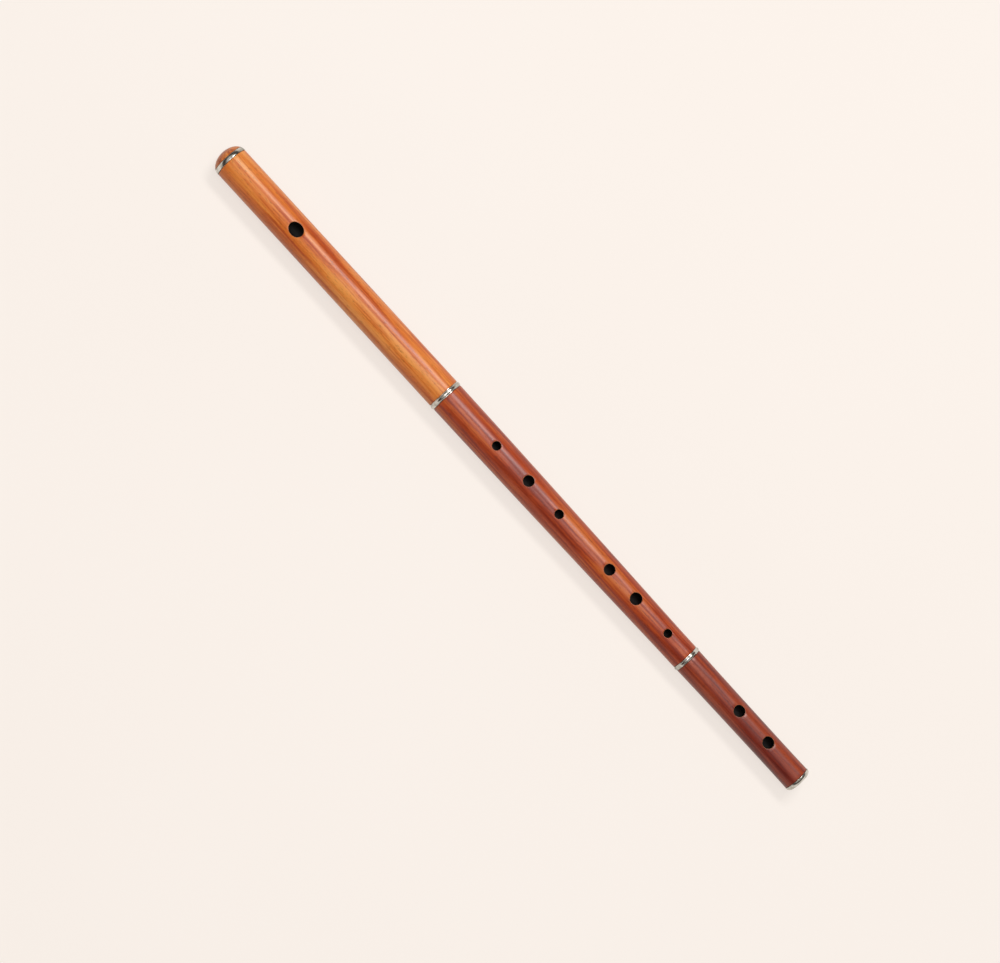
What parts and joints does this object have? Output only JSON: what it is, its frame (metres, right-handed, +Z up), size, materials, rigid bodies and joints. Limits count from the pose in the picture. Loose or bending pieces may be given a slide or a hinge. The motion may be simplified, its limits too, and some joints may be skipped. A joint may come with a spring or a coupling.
{
  "type": "keyless wooden flute",
  "caption": "Transverse wooden flute in separate head, body and foot joints, with cork-lapped tenons, metal rings, and a screw-set cork stopper under a domed crown.",
  "frame": {"origin": "under the middle of the flute's length, on the surface that its widest ring touches", "axes": "+X along the flute from the crown to the foot, +Z up through the finger holes"},
  "size_m": [0.654, 0.029, 0.029],
  "materials": {
    "light_rosewood": "oiled, satin, fine straight grain",
    "rosewood": "oiled, satin, fine straight grain",
    "dark_rosewood": "oiled, satin, fine straight grain",
    "nickel_silver": "polished",
    "brass": "turned",
    "cork": "natural cork, waxed"
  },
  "bodies": {
    "body": {"body_tube": "rosewood", "body_tenon_cork": "cork", "body_socket_ring": "nickel_silver"},
    "head_carrier": {"head_socket_ring": "nickel_silver"},
    "head": {"head_tube": "light_rosewood", "head_top_ring": "nickel_silver"},
    "crown": {"crown": "light_rosewood", "crown_bush": "brass"},
    "stopper": {"stopper_screw": "brass", "stopper_back_plate": "brass", "stopper_cork": "cork", "stopper_face_plate": "brass"},
    "foot_carrier": {"foot_tenon_cork": "cork"},
    "foot": {"foot_tube": "dark_rosewood", "foot_end_ring": "nickel_silver"}
  },
  "joints": [
    {"name": "head_pull", "type": "slide", "parent": "body", "child": "head_carrier", "axis": [-1, 0, 0], "range_m": [0, 0.03]},
    {"name": "head_turn", "type": "hinge", "parent": "head_carrier", "child": "head", "pos_m": [-0.0723, 0, 0.01448], "axis": [1, 0, 0], "continuous": true},
    {"name": "crown_turn", "type": "hinge", "parent": "head", "child": "crown", "pos_m": [-0.3195, 0, 0.01448], "axis": [1, 0, 0], "range_deg": [-1080, 1080]},
    {"name": "stopper_slide", "type": "slide", "parent": "head", "child": "stopper", "axis": [1, 0, 0], "range_m": [-0.0031, 0.0031]},
    {"name": "foot_pull", "type": "slide", "parent": "body", "child": "foot_carrier", "axis": [1, 0, 0], "range_m": [0, 0.024]},
    {"name": "foot_turn", "type": "hinge", "parent": "foot_carrier", "child": "foot", "pos_m": [0.2008, 0, 0.01448], "axis": [1, 0, 0], "continuous": true}
  ],
  "couplings": [
    {"joint": "stopper_slide", "follows": "crown_turn", "m_per_rad": -0.00015915}
  ]
}
